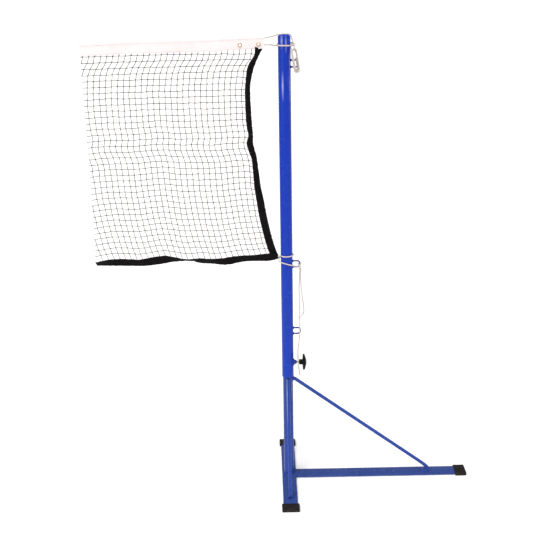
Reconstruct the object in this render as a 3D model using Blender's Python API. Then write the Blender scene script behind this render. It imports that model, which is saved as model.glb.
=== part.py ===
"""Free-standing badminton post with the tied-on end of its net.

Metres, +Z up. The post's axis is the Z axis and the floor is Z = 0. The long leg points along +X,
the cross bar lies along Y and the net hangs in the XZ plane on the -X side.
A lower tube stands on a flat-bar base with three rod braces. The upper tube slides on it and is
held by a clamp screw. It carries the net, whose tie cords end at rings welded on its +X side.
"""

from math import atan2, cos, pi, radians, sin

import bmesh
import bpy
from mathutils import Vector

# ---- driving dimensions ---------------------------------------------------------------------
GAP = 0.0003  # between touching pieces

POST_TOP = 1.550  # top edge of the upper tube, the net's height at the post
UPPER_RADIUS = 0.0200
UPPER_WALL = 0.0015
UPPER_BOTTOM = 0.3947  # the upper tube's lower rim, resting on the brace tops
LOWER_RADIUS = 0.0175
LOWER_WALL = 0.0020
LOWER_TOP = 0.920
DOME_HEIGHT = 0.0092

FOOT_HALF_DEPTH = 0.242  # cross bar with its caps, each way from the post
LEG_REACH = 0.636  # leg bar with its cap, from the post's axis
BAR_WIDTH = 0.050
BAR_THICK = 0.006
BAR_UNDER = 0.0025  # the caps hold the bars this far off the floor
BAR_TOP = BAR_UNDER + BAR_THICK
CAP_WIDTH = 0.060
CAP_LENGTH = 0.040
CAP_HEIGHT = BAR_TOP + BAR_UNDER
CAP_END_WALL = 0.005

ROD_RADIUS = 0.006
ROD_TOP = 0.3868  # the rods' centre line where they meet the post
LEG_BRACE_FOOT = 0.4975
CROSS_BRACE_FOOT = 0.1680
TAB_LENGTH = 0.026
TAB_WIDTH = 0.018
TAB_THICK = 0.004

RING_HEIGHTS = {"top": 1.4692, "middle": 0.8074, "bottom": 0.5654}
RING_WIRE_RADIUS = 0.0025
RING_SPACING = 0.0212  # between the centres of a ring's two arms
RING_OUT = 0.0442  # the outer bar's centre, from the post's axis

CLAMP_Z = 0.4472
STUD_RADIUS = 0.0040
NUT_BORE_RADIUS = 0.0044
NUT_END = 0.0303  # all clamp positions are measured along X from the post's axis
HUB_START = 0.0390
HUB_END = 0.0511
KNOB_END = 0.0643
HUB_RADIUS = 0.0095
KNOB_RADIUS = 0.0262
KNOB_LOBE = 0.0018
KNOB_LOBES = 6

HEAD_WIDTH = 0.0365
HEAD_THICK = 0.003
TAPE_WIDTH = 0.022
TAPE_THICK = 0.002
MESH_THICK = 0.0012
EYELETS = {"end": (-0.0795, 1.5300), "inner": (-0.1377, 1.5284)}
EYELET_HOLE_RADIUS = 0.0040
EYELET_BARREL_RADIUS = 0.0046
EYELET_FLANGE_RADIUS = 0.0062
EYELET_FLANGE_THICK = 0.0008

CORD_RADIUS = 0.0020
HANK_TOP = (0.0290, -0.0152, 1.5120)
HANK_BOTTOM = (0.0390, -0.0152, 1.4500)
HANK_RADIUS = 0.0105
HANK_THICK = 0.0130
TOP_KNOT = (0.0281, -0.0070, 1.5284)
TOP_KNOT_RADIUS = 0.0056
RING_KNOT = (0.0440, -0.0086, 0.8020)
RING_KNOT_RADIUS = 0.0050

# ---- outlines and cord routes, chosen by hand -----------------------------------------------
# Top edge of the head tape and of the bottom tape, from the post's end to the cut end: (x, z).
HEAD_EDGE = [(-0.0625, 1.5533), (-0.200, 1.5487), (-0.297, 1.5462), (-0.495, 1.5436), (-0.636, 1.5398)]
BOTTOM_EDGE = [(-0.0315, 0.8480), (-0.070, 0.8446), (-0.120, 0.8400), (-0.200, 0.8345), (-0.330, 0.8315),
               (-0.480, 0.8320), (-0.636, 0.8230)]
NET_CORNER = (-0.0262, 0.8322)
# Outer edge of the side tape, from the head tape down to the bottom tape: (x, z).
SIDE_EDGE = [(-0.0668, 1.5150), (-0.0890, 1.4664), (-0.1040, 1.4050), (-0.1080, 1.3500), (-0.1035, 1.2700),
             (-0.0960, 1.1900), (-0.0830, 1.1000), (-0.0640, 0.9900), (-0.0440, 0.8920), (-0.0312, 0.8486)]

# The head tape's cord: over the cap's far shoulder and down to the knot.
TOP_CORD = [(-0.0620, 0.0000, 1.5487), (-0.0500, 0.0030, 1.5502), (-0.0376, 0.0065, 1.5524),
            (-0.0270, 0.0100, 1.5545), (-0.0185, 0.0130, 1.5566), (-0.0080, 0.0160, 1.5576),
            (0.0040, 0.0170, 1.5578), (0.0130, 0.0155, 1.5580), (0.0190, 0.0120, 1.5565),
            (0.0232, 0.0085, 1.5515), (0.0246, 0.0050, 1.5440), (0.0262, 0.0000, 1.5385),
            (0.0270, -0.0043, 1.5337)]
# Tails of the lower tie cord, hanging from the middle ring.
LONG_TAIL = [(0.0430, -0.0086, 0.7963), (0.0432, -0.0084, 0.7850), (0.0421, -0.0084, 0.7585),
             (0.0406, -0.0084, 0.7242), (0.0412, -0.0080, 0.6805), (0.0409, -0.0080, 0.6359),
             (0.0402, -0.0080, 0.6137), (0.0415, -0.0080, 0.5914), (0.0424, -0.0082, 0.5713),
             (0.0410, -0.0084, 0.5440), (0.0378, -0.0084, 0.5172), (0.0350, -0.0084, 0.4880),
             (0.0352, -0.0084, 0.4600), (0.0356, -0.0090, 0.4440), (0.0384, -0.0115, 0.4224),
             (0.0408, -0.0128, 0.4010)]
SHORT_TAIL = [(0.0474, -0.0104, 0.7955), (0.0468, -0.0112, 0.7860), (0.0463, -0.0116, 0.7726),
              (0.0474, -0.0116, 0.7319), (0.0524, -0.0120, 0.6820), (0.0562, -0.0124, 0.6485),
              (0.0545, -0.0128, 0.6345), (0.0480, -0.0132, 0.6250), (0.0425, -0.0134, 0.6190)]

# ---- materials ------------------------------------------------------------------------------
FINISHES = {
    "blue_paint": ((0.028, 0.072, 0.42), 0.35, 0.0),
    "black_rubber": ((0.016, 0.014, 0.014), 0.75, 0.0),
    "black_plastic": ((0.014, 0.013, 0.014), 0.45, 0.0),
    "zinc_steel": ((0.55, 0.54, 0.52), 0.35, 1.0),
    "grey_nylon": ((0.30, 0.30, 0.31), 0.5, 0.0),
    "white_tape": ((0.86, 0.80, 0.80), 0.85, 0.0),
    "black_tape": ((0.014, 0.012, 0.013), 0.85, 0.0),
    "net_twine": ((0.045, 0.035, 0.035), 0.8, 0.0),
    "brass": ((0.62, 0.42, 0.14), 0.3, 1.0),
    "cord_white": ((0.68, 0.60, 0.58), 0.85, 0.0),
}


def clear_scene():
    for obj in list(bpy.data.objects):
        bpy.data.objects.remove(obj, do_unlink=True)


def material(name):
    if name in bpy.data.materials:
        return bpy.data.materials[name]
    colour, roughness, metallic = FINISHES[name]
    mat = bpy.data.materials.new(name)
    mat.use_nodes = True
    shader = mat.node_tree.nodes["Principled BSDF"]
    shader.inputs["Base Color"].default_value = (*colour, 1.0)
    shader.inputs["Roughness"].default_value = roughness
    shader.inputs["Metallic"].default_value = metallic
    return mat


def link(name, data, finish, parent=None, location=(0, 0, 0)):
    obj = bpy.data.objects.new(name, data)
    obj.location = location
    obj.parent = parent
    data.materials.append(material(finish))
    bpy.context.scene.collection.objects.link(obj)
    return obj


def frame_at(name, location=(0, 0, 0)):
    """An empty on a joint's axis, the parent of the pieces that move with it."""
    empty = bpy.data.objects.new(name, None)
    empty.location = location
    bpy.context.scene.collection.objects.link(empty)
    return empty


def mesh_object(name, bm, finish, parent=None, location=(0, 0, 0), smooth=True):
    bmesh.ops.recalc_face_normals(bm, faces=bm.faces)
    mesh = bpy.data.meshes.new(name)
    bm.to_mesh(mesh)
    bm.free()
    if smooth:
        mesh.shade_smooth()
        mesh.set_sharp_from_angle(angle=radians(35))
    return link(name, mesh, finish, parent, location)


# ---- shape helpers --------------------------------------------------------------------------
def turned(profile, segments=40, axis="Z", lobes=0, ring=False):
    """A turned body: profile is (along, radius, lobe height); ring=True joins its end to its start."""
    bm = bmesh.new()
    loops = []
    for along, radius, lobe in profile:
        loop = []
        for i in range(segments):
            turn = 2 * pi * i / segments
            r = radius + lobe * cos(lobes * turn)
            u, v = r * cos(turn), r * sin(turn)
            loop.append(bm.verts.new((u, v, along) if axis == "Z" else (along, u, v)))
        loops.append(loop)
    pairs = list(zip(loops, loops[1:]))
    if ring:
        pairs.append((loops[-1], loops[0]))
    for low, high in pairs:
        for i in range(segments):
            j = (i + 1) % segments
            bm.faces.new((low[i], low[j], high[j], high[i]))
    if not ring:
        bm.faces.new(loops[0])
        bm.faces.new(loops[-1])
    return bm


def box(low, high, bevel=0.0):
    bm = bmesh.new()
    bmesh.ops.create_cube(bm, size=1.0)
    for v in bm.verts:
        v.co = Vector([(a + b) / 2 + c * (b - a) for a, b, c in zip(low, high, v.co)])
    if bevel:
        bmesh.ops.bevel(bm, geom=bm.edges[:], offset=bevel, segments=2, affect="EDGES", profile=0.5)
    return bm


def slab(outline, thick):
    """A flat sheet in the XZ plane, centred on Y = 0, with the outline's (x, z) points."""
    bm = bmesh.new()
    face = bm.faces.new([bm.verts.new((x, -thick / 2, z)) for x, z in outline])
    grown = bmesh.ops.extrude_face_region(bm, geom=[face])["geom"]
    far = [g for g in grown if isinstance(g, bmesh.types.BMVert)]
    bmesh.ops.translate(bm, verts=far, vec=(0, thick, 0))
    return bm


def spline_point(a, b, c, d, t):
    """Catmull-Rom between b and c."""
    return 0.5 * (2 * b + (c - a) * t + (2 * a - 5 * b + 4 * c - d) * t * t + (3 * b - a - 3 * c + d) * t**3)


def smooth(points, step):
    """A smooth curve through the points, as points about one step apart, its two ends included."""
    knots = [Vector(p) for p in points]
    knots = [2 * knots[0] - knots[1]] + knots + [2 * knots[-1] - knots[-2]]
    fine = [knots[1]]
    for a, b, c, d in zip(knots, knots[1:], knots[2:], knots[3:]):
        fine += [spline_point(a, b, c, d, i / 24) for i in range(1, 25)]
    lengths = [0.0]
    for p, q in zip(fine, fine[1:]):
        lengths.append(lengths[-1] + (q - p).length)
    count = max(2, round(lengths[-1] / step))
    result, at = [], 0
    for i in range(count + 1):
        want = lengths[-1] * i / count
        while at < len(fine) - 2 and lengths[at + 1] < want:
            at += 1
        share = (want - lengths[at]) / (lengths[at + 1] - lengths[at])
        result.append(fine[at].lerp(fine[at + 1], min(share, 1.0)))
    return result


def smooth_edge(points, step=0.02):
    return [(p.x, p.y) for p in smooth([(x, z, 0) for x, z in points], step)]


def swept(points, radius, sides=16):
    """A round rod along the points, with flat ends."""
    line = [Vector(p) for p in points]
    bm = bmesh.new()
    ahead = (line[1] - line[0]).normalized()
    across = ahead.orthogonal().normalized()
    loops = []
    for i, p in enumerate(line):
        before = (p - line[i - 1]).normalized() if i else ahead
        after = (line[i + 1] - p).normalized() if i < len(line) - 1 else before
        along = (before + after).normalized()
        across = (across - across.dot(along) * along).normalized()
        up = along.cross(across)
        turns = [2 * pi * k / sides for k in range(sides)]
        loops.append([bm.verts.new(p + radius * (cos(t) * across + sin(t) * up)) for t in turns])
    for low, high in zip(loops, loops[1:]):
        for k in range(sides):
            j = (k + 1) % sides
            bm.faces.new((low[k], low[j], high[j], high[k]))
    bm.faces.new(loops[0])
    bm.faces.new(loops[-1])
    return bm


def arc(centre, radius, start, end, steps=6):
    """Points of an arc in the XZ plane, angles in degrees from +X towards +Z."""
    turns = [radians(start + (end - start) * i / steps) for i in range(steps + 1)]
    return [(centre[0] + radius * cos(t), 0.0, centre[1] + radius * sin(t)) for t in turns]


def cutter(name, bm):
    bmesh.ops.recalc_face_normals(bm, faces=bm.faces)
    mesh = bpy.data.meshes.new(name)
    bm.to_mesh(mesh)
    bm.free()
    obj = bpy.data.objects.new(name, mesh)
    bpy.context.scene.collection.objects.link(obj)
    obj.hide_render = True
    obj.display_type = "WIRE"
    return obj


def boolean(obj, other, operation="DIFFERENCE"):
    mod = obj.modifiers.new(other.name, "BOOLEAN")
    mod.operation = operation
    mod.object = other


def tube(name, radius, wall, low, high, parent=None, origin=(0, 0, 0)):
    profile = [(low, radius - wall, 0), (low, radius, 0), (high, radius, 0), (high, radius - wall, 0)]
    return mesh_object(name, turned(profile, 48, ring=True), "blue_paint", parent, origin)


# ---- base -----------------------------------------------------------------------------------
def base_bars(base):
    half_bar = FOOT_HALF_DEPTH - CAP_END_WALL - GAP
    half = BAR_WIDTH / 2
    cross = box((-half, -half_bar, BAR_UNDER), (half, half_bar, BAR_TOP), bevel=0.0008)
    mesh_object("cross_bar", cross, "blue_paint", base)
    leg_end = LEG_REACH - CAP_END_WALL - GAP
    leg = box((half + GAP, -half, BAR_UNDER), (leg_end, half, BAR_TOP), bevel=0.0008)
    mesh_object("leg_bar", leg, "blue_paint", base)


def foot_cap(name, base, turn, reach):
    """A rubber sleeve with a closed end, pushed over a bar's end; its pocket opens towards the post."""
    start, half = reach - CAP_LENGTH, CAP_WIDTH / 2
    shell = box((start, -half, 0), (reach, half, CAP_HEIGHT), bevel=0.0016)
    cap = mesh_object(name, shell, "black_rubber", base)
    side = BAR_WIDTH / 2 + GAP
    low = (start - 0.01, -side, BAR_UNDER - GAP)
    pocket = cutter("cut_" + name, box(low, (reach - CAP_END_WALL, side, BAR_TOP + GAP)))
    pocket.parent = base
    boolean(cap, pocket)
    cap.rotation_euler.z = pocket.rotation_euler.z = turn


def brace_route(foot, steep):
    """The rod's centre line in the XZ plane, from inside the post's wall down to the bar."""
    end = (foot, 0, BAR_TOP + GAP)
    bend = (foot, 0, BAR_TOP + 0.0085)
    if steep:
        side = LOWER_RADIUS + ROD_RADIUS + GAP
        top = [(side, 0, ROD_TOP + 0.0055), (side, 0, ROD_TOP - 0.012)]
        lead = (0.0262, 0, ROD_TOP - 0.024)
    else:
        top = [(0.010, 0, ROD_TOP), (0.0198, 0, ROD_TOP - 0.0004)]
        lead = (0.0280, 0, ROD_TOP - 0.0059)
    slope = Vector(lead) - Vector(bend)
    slope.normalize()
    near = Vector(bend) + slope * 0.010
    foot_bend = [tuple(near + slope * 0.012), tuple(near), (foot - 0.0010, 0, BAR_TOP + 0.0120), bend, end]
    return top + [lead] + foot_bend


def rounded(points, step=0.004, spread=0.35):
    """The same route with each corner rounded by a short curve."""
    line = [Vector(p) for p in points]
    route = [line[0]]
    for a, b, c in zip(line, line[1:], line[2:]):
        reach = spread * min((b - a).length, (c - b).length, 0.02)
        start, stop = b + (a - b).normalized() * reach, b + (c - b).normalized() * reach
        count = max(2, round(2 * reach / step))
        for i in range(count + 1):
            t = i / count
            route.append(start.lerp(b, t).lerp(b.lerp(stop, t), t))
    return route + [line[-1]]


def brace(name, base, turn, foot, steep):
    rod = mesh_object(name, swept(rounded(brace_route(foot, steep)), ROD_RADIUS), "blue_paint", base)
    low = (foot - TAB_LENGTH + 0.005, -TAB_WIDTH / 2, BAR_TOP + GAP)
    high = (foot + 0.005, TAB_WIDTH / 2, BAR_TOP + GAP + TAB_THICK)
    tab = cutter("tab_" + name, box(low, high, bevel=0.001))
    span = [(ROD_TOP - 0.05, LOWER_RADIUS + GAP, 0), (ROD_TOP + 0.05, LOWER_RADIUS + GAP, 0)]
    post = cutter("cope_" + name, turned(span, 48))
    tab.parent = base
    boolean(rod, tab, "UNION")
    boolean(rod, post)
    rod.rotation_euler.z = tab.rotation_euler.z = turn


def guide_bush(base):
    """Plastic bush in the lower tube's top end, which guides the upper tube."""
    bore, wall = LOWER_RADIUS - LOWER_WALL - GAP, 0.0026
    low, seat, top = LOWER_TOP - 0.020, LOWER_TOP + GAP, LOWER_TOP + 0.006
    collar = UPPER_RADIUS - UPPER_WALL - 0.0004
    profile = [(top - 0.003, bore - wall, 0), (low, bore - wall, 0), (low, bore, 0), (seat, bore, 0),
               (seat, collar, 0), (top - 0.001, collar, 0), (top, collar - 0.001, 0)]
    mesh_object("guide_bush", turned(profile), "grey_nylon", base)


def build_base():
    base = frame_at("base")
    tube("lower_post", LOWER_RADIUS, LOWER_WALL, BAR_TOP + GAP, LOWER_TOP, base)
    guide_bush(base)
    base_bars(base)
    foot_cap("foot_cap_leg", base, 0.0, LEG_REACH)
    foot_cap("foot_cap_rear", base, pi / 2, FOOT_HALF_DEPTH)
    foot_cap("foot_cap_front", base, -pi / 2, FOOT_HALF_DEPTH)
    brace("brace_leg", base, 0.0, LEG_BRACE_FOOT, steep=False)
    brace("brace_rear", base, pi / 2, CROSS_BRACE_FOOT, steep=True)
    brace("brace_front", base, -pi / 2, CROSS_BRACE_FOOT, steep=True)


# ---- upper post -----------------------------------------------------------------------------
def post_cap(mast):
    spigot = UPPER_RADIUS - UPPER_WALL - 0.0004
    seat = POST_TOP + GAP
    ball = (UPPER_RADIUS**2 + DOME_HEIGHT**2) / (2 * DOME_HEIGHT)
    profile = [(POST_TOP - 0.015, spigot - 0.003, 0), (POST_TOP - 0.015, spigot, 0), (seat, spigot, 0)]
    rim = atan2(UPPER_RADIUS, ball - DOME_HEIGHT)
    for i in range(8):
        lean = rim * (1 - i / 8)
        profile.append((seat + DOME_HEIGHT - ball + ball * cos(lean), ball * sin(lean), 0))
    profile.insert(0, (POST_TOP - 0.002, spigot - 0.003, 0))
    mesh_object("post_cap", turned(profile, 48), "blue_paint", mast)


def upper_post(mast):
    post = tube("upper_post", UPPER_RADIUS, UPPER_WALL, UPPER_BOTTOM, POST_TOP, mast)
    hole_radius = NUT_BORE_RADIUS + 0.0002
    hole = turned([(0.010, hole_radius, 0), (0.030, hole_radius, 0)], 24, axis="X")
    bmesh.ops.translate(hole, verts=hole.verts, vec=(0, 0, CLAMP_Z))
    boolean(post, cutter("cut_clamp_hole", hole))


def clamp_nut(mast):
    """Welded boss with a threaded bore; its foot follows the tube."""
    profile = [(0.0150, NUT_BORE_RADIUS, 0), (0.0150, 0.0108, 0), (0.0205, 0.0102, 0),
               (0.0240, 0.0078, 0), (NUT_END, 0.0064, 0), (NUT_END, NUT_BORE_RADIUS, 0)]
    boss = turned(profile, 32, axis="X", ring=True)
    nut = mesh_object("clamp_nut", boss, "blue_paint", mast, (0, 0, CLAMP_Z))
    span = [(CLAMP_Z - 0.03, UPPER_RADIUS + GAP, 0), (CLAMP_Z + 0.03, UPPER_RADIUS + GAP, 0)]
    boolean(nut, cutter("cope_nut", turned(span, 64)))


def cord_ring(mast, name, height):
    """Wire staple welded to the tube by its two arms."""
    half, bend = RING_SPACING / 2, 0.0085
    corner = RING_OUT - bend
    route = [(0.012, 0, half)]
    route += arc((corner, half - bend), bend, 90, 0)
    route += arc((corner, bend - half), bend, 0, -90)
    route.append((0.012, 0, -half))
    ring = mesh_object(name, swept(route, RING_WIRE_RADIUS, 12), "blue_paint", mast, (0, 0, height))
    span = [(height - 0.03, UPPER_RADIUS + GAP, 0), (height + 0.03, UPPER_RADIUS + GAP, 0)]
    boolean(ring, cutter("cope_" + name, turned(span, 48)))


# ---- net ------------------------------------------------------------------------------------
def offset_edge(edge, along_x, along_z):
    return [(x + along_x, z + along_z) for x, z in edge]


def head_tape(mast):
    top = smooth_edge(HEAD_EDGE, 0.04)
    band = slab(top + offset_edge(top, 0, -HEAD_WIDTH)[::-1], HEAD_THICK)
    tape = mesh_object("head_tape", band, "white_tape", mast, smooth=False)
    for name, (x, z) in EYELETS.items():
        hole_radius = EYELET_BARREL_RADIUS + GAP
        hole = turned([(-0.01, hole_radius, 0), (0.01, hole_radius, 0)], 24)
        cut = cutter("cut_eyelet_" + name, hole)
        cut.rotation_euler.x = pi / 2
        cut.location = (x, 0, z)
        boolean(tape, cut)
        eyelet(mast, name, x, z)


def eyelet(mast, name, x, z):
    """Brass grommet through the head tape, with a flange on each face."""
    face = HEAD_THICK / 2 + GAP
    out = face + EYELET_FLANGE_THICK
    rim, barrel, hole = EYELET_FLANGE_RADIUS, EYELET_BARREL_RADIUS, EYELET_HOLE_RADIUS
    profile = [(-out, hole, 0), (-out, rim, 0), (-face, rim, 0), (-face, barrel, 0), (face, barrel, 0),
               (face, rim, 0), (out, rim, 0), (out, hole, 0)]
    ring = mesh_object("eyelet_" + name, turned(profile, 24, ring=True), "brass", mast, (x, 0, z))
    ring.rotation_euler.x = pi / 2


def side_and_bottom_tape(mast):
    outer = smooth_edge(SIDE_EDGE, 0.03)
    inner = offset_edge(outer, -TAPE_WIDTH, 0)
    mesh_object("side_tape", slab(outer + inner[::-1], TAPE_THICK), "black_tape", mast, smooth=False)
    top = smooth_edge(BOTTOM_EDGE, 0.03)
    low = offset_edge(top, 0, -TAPE_WIDTH)
    band = slab([NET_CORNER] + top + low[::-1], TAPE_THICK)
    mesh_object("bottom_tape", band, "black_tape", mast, smooth=False)


def net_mesh(mast):
    """The knotted netting as one thin sheet between the three tapes."""
    top = offset_edge(smooth_edge(HEAD_EDGE, 0.04), 0, -HEAD_WIDTH - GAP)
    side = offset_edge(smooth_edge(SIDE_EDGE, 0.03), -TAPE_WIDTH - GAP, 0)
    bottom = offset_edge(smooth_edge(BOTTOM_EDGE, 0.03), 0, GAP)
    start, corner = side[0][0], side[-1][0]
    side = [(x, z) for x, z in side if z < top[0][1] - 0.005]
    top = [(x, z) for x, z in top if x < start]
    bottom = [(x, z) for x, z in bottom if x < corner - 0.005]
    outline = [(start, top[0][1])] + top + bottom[::-1] + side[::-1]
    mesh_object("net_mesh", slab(outline, MESH_THICK), "net_twine", mast, smooth=False)


# ---- cords ----------------------------------------------------------------------------------
def around_post(start, end, z_start, z_end, radius, steps):
    """Points of a turn about the post, angles in degrees from +X towards +Y."""
    points = []
    for i in range(steps + 1):
        t = i / steps
        turn = radians(start + (end - start) * t)
        points.append((radius * cos(turn), radius * sin(turn), z_start + (z_end - z_start) * t))
    return points


def waist_cord_route():
    """From the head tape's lower corner behind the post, once round it and to the knot."""
    lay = UPPER_RADIUS + CORD_RADIUS + 0.0006
    lead = [(-0.0620, 0.0000, 1.5278), (-0.0440, 0.0055, 1.5274), (-0.0270, 0.0130, 1.5238)]
    first = around_post(112, -90, 1.5200, 1.5276, lay, 7)
    last = around_post(-120, -335, 1.5280, 1.5330, lay, 7)
    return lead + first + last + [(0.0252, 0.0042, 1.5322), (0.0263, -0.0008, 1.5306)]


def bottom_cord_route():
    """From the net's lower corner once round the post and across its front to the middle ring."""
    lay = UPPER_RADIUS + CORD_RADIUS + 0.0006
    lead = [(-0.0282, -0.0036, 0.8345)]
    front = around_post(-160, -20, 0.8386, 0.8412, lay, 5)
    behind = around_post(10, 178, 0.8400, 0.8315, lay, 5)
    back = [(-0.0262, -0.0062, 0.8272), (-0.0258, -0.0108, 0.8225), (-0.0205, -0.0145, 0.8187),
            (-0.0114, -0.0198, 0.8168), (-0.0013, -0.0226, 0.8142), (0.0089, -0.0208, 0.8106),
            (0.0192, -0.0150, 0.8060), (0.0295, -0.0108, 0.8030), (0.0386, -0.0088, 0.8019)]
    return lead + front + behind + back


def cord(name, mast, route, step=0.0075):
    curve = bpy.data.curves.new(name, "CURVE")
    curve.dimensions = "3D"
    curve.bevel_depth = CORD_RADIUS
    curve.bevel_resolution = 2
    curve.use_fill_caps = True
    curve.render_resolution_u = 0
    points = smooth(route, step)
    spline = curve.splines.new("POLY")
    spline.points.add(len(points) - 1)
    for spot, p in zip(spline.points, points):
        spot.co = (*p, 1.0)
    return link(name, curve, "cord_white", mast)


def knot(name, mast, centre, radius):
    bm = bmesh.new()
    bmesh.ops.create_icosphere(bm, subdivisions=2, radius=radius)
    mesh_object(name, bm, "cord_white", mast, centre)


def hank(mast):
    """The outer shape of the spare cord folded in long loops: an outline with round ends."""
    top, bottom = Vector(HANK_TOP), Vector(HANK_BOTTOM)
    along = (top - bottom).normalized()
    lean = atan2(along.z, along.x)
    outline = []
    for centre, start in ((top, lean - pi / 2), (bottom, lean + pi / 2)):
        for i in range(9):
            turn = start + pi * i / 8
            outline.append((centre.x + HANK_RADIUS * cos(turn), centre.z + HANK_RADIUS * sin(turn)))
    mesh_object("top_hank", slab(outline, HANK_THICK), "cord_white", mast, (0, HANK_TOP[1], 0))


def build_mast():
    mast = frame_at("mast")
    upper_post(mast)
    post_cap(mast)
    clamp_nut(mast)
    for name, height in RING_HEIGHTS.items():
        cord_ring(mast, "cord_ring_" + name, height)
    head_tape(mast)
    side_and_bottom_tape(mast)
    net_mesh(mast)
    cord("top_cord", mast, TOP_CORD)
    cord("waist_cord", mast, waist_cord_route())
    knot("top_knot", mast, TOP_KNOT, TOP_KNOT_RADIUS)
    hank(mast)
    cord("bottom_cord", mast, bottom_cord_route())
    knot("ring_knot", mast, RING_KNOT, RING_KNOT_RADIUS)
    cord("tail_long", mast, LONG_TAIL, 0.010)
    cord("tail_short", mast, SHORT_TAIL, 0.009)


# ---- clamp screw ----------------------------------------------------------------------------
def build_clamp():
    """Pressure pad, stud and knob, on the clamp's axis."""
    slide = frame_at("clamp", (0, 0, CLAMP_Z))
    start = LOWER_RADIUS + GAP
    pad = [(start, 0.0034, 0), (start + 0.0006, 0.0040, 0), (start + 0.0036, 0.0040, 0)]
    mesh_object("clamp_pad", turned(pad, 20, axis="X"), "black_plastic", slide)
    tip, end = start + 0.0036 + GAP, HUB_END - 0.0015
    stud = [(tip, STUD_RADIUS - 0.0008, 0), (tip + 0.0008, STUD_RADIUS, 0), (end, STUD_RADIUS, 0)]
    mesh_object("clamp_stud", turned(stud, 20, axis="X"), "zinc_steel", slide)
    hole_radius = STUD_RADIUS + GAP
    knob = [(end + GAP, hole_radius, 0), (HUB_START, hole_radius, 0),
            (HUB_START, HUB_RADIUS - 0.0005, 0), (HUB_START + 0.0006, HUB_RADIUS, 0), (HUB_END, HUB_RADIUS, 0),
            (HUB_END + 0.0004, KNOB_RADIUS - 0.0040, KNOB_LOBE),
            (HUB_END + 0.0016, KNOB_RADIUS - 0.0008, KNOB_LOBE), (HUB_END + 0.0036, KNOB_RADIUS, KNOB_LOBE),
            (HUB_END + 0.0062, KNOB_RADIUS - 0.0007, KNOB_LOBE),
            (HUB_END + 0.0082, KNOB_RADIUS - 0.0032, KNOB_LOBE),
            (HUB_END + 0.0104, KNOB_RADIUS - 0.0090, KNOB_LOBE), (KNOB_END - 0.0006, 0.0105, 0),
            (KNOB_END, 0.0060, 0)]
    mesh_object("clamp_knob", turned(knob, 48, axis="X", lobes=KNOB_LOBES), "black_plastic", slide)


clear_scene()
build_base()
build_mast()
build_clamp()
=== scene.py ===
"""Looks of the badminton post and its net end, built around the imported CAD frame.

Metres, +Z up: the post's axis is the Z axis, the long leg points along +X and the net hangs on the
-X side. The camera looks along +Y. Nearly every CAD node gets a finer piece in the same place.
"""

from math import acos, cos, pi, radians, sin, sqrt
from random import Random

import bmesh
import bpy
from mathutils import Matrix, Vector, noise


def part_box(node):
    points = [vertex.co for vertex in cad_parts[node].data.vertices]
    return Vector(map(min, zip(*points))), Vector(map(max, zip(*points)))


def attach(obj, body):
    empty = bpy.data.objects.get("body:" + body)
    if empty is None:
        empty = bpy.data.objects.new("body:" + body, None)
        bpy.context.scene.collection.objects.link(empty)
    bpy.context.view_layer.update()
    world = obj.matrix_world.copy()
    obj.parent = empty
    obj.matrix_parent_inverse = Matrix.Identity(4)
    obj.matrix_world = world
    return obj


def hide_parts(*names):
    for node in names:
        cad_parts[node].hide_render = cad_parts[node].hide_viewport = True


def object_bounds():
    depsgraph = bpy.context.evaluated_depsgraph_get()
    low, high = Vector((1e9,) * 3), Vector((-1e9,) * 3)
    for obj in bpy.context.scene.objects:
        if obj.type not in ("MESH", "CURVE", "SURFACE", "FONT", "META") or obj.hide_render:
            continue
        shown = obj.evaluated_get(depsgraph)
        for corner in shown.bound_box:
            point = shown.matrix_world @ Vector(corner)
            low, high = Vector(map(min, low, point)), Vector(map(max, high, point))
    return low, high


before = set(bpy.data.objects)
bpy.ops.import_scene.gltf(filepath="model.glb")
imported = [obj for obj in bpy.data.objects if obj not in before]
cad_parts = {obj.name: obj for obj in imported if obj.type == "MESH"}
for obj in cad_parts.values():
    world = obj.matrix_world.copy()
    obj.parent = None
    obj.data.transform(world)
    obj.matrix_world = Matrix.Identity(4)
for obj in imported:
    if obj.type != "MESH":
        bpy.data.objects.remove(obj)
cad_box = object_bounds()

BASE, MAST, KNOB = "base", "mast", "knob"

# ---- sizes taken from the frame ----
UPPER_LOW, UPPER_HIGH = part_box("upper_post")
LOWER_LOW, LOWER_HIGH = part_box("lower_post")
CAP_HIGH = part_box("post_cap")[1]
CROSS_LOW, CROSS_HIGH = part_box("cross_bar")
LEG_LOW, LEG_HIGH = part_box("leg_bar")
NUT_LOW, NUT_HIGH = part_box("clamp_nut")
HUB_LOW, KNOB_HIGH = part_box("clamp_knob")
STUD_LOW, STUD_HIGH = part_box("clamp_stud")

UPPER_RADIUS = UPPER_HIGH.x
LOWER_RADIUS = LOWER_HIGH.x
UPPER_WALL, LOWER_WALL = 0.0015, 0.0020
BAR_TOP = CROSS_HIGH.z
FOOT_CAP_LENGTH, FOOT_CAP_HALF, FOOT_CAP_WALL = 0.040, 0.030, 0.005
LEG_BRACE_FOOT, CROSS_BRACE_FOOT = 0.4975, 0.1680  # from the post's axis to each brace's bend
CLAMP_Z = (NUT_LOW.z + NUT_HIGH.z) / 2
THREAD_PITCH = 0.00125
ROD_RADIUS = 0.006
CORD_RADIUS = 0.0020
CORD_LAY = UPPER_RADIUS + CORD_RADIUS + 0.0006  # a cord's middle where it lies round the upper post
RING_WIRE_RADIUS = 0.0025

# ---- net outlines and cord routes, as in the CAD ----
NET_END = cad_box[0][0]
HEAD_WIDTH, HEAD_LENGTH = 0.0365, 0.5735
HEAD_EDGE = [(-0.0625, 1.5533), (-0.200, 1.5487), (-0.297, 1.5462), (-0.495, 1.5436), (-0.636, 1.5398)]
EYELETS = {"eyelet_end": (-0.0795, 1.5300), "eyelet_inner": (-0.1377, 1.5284)}
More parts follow.
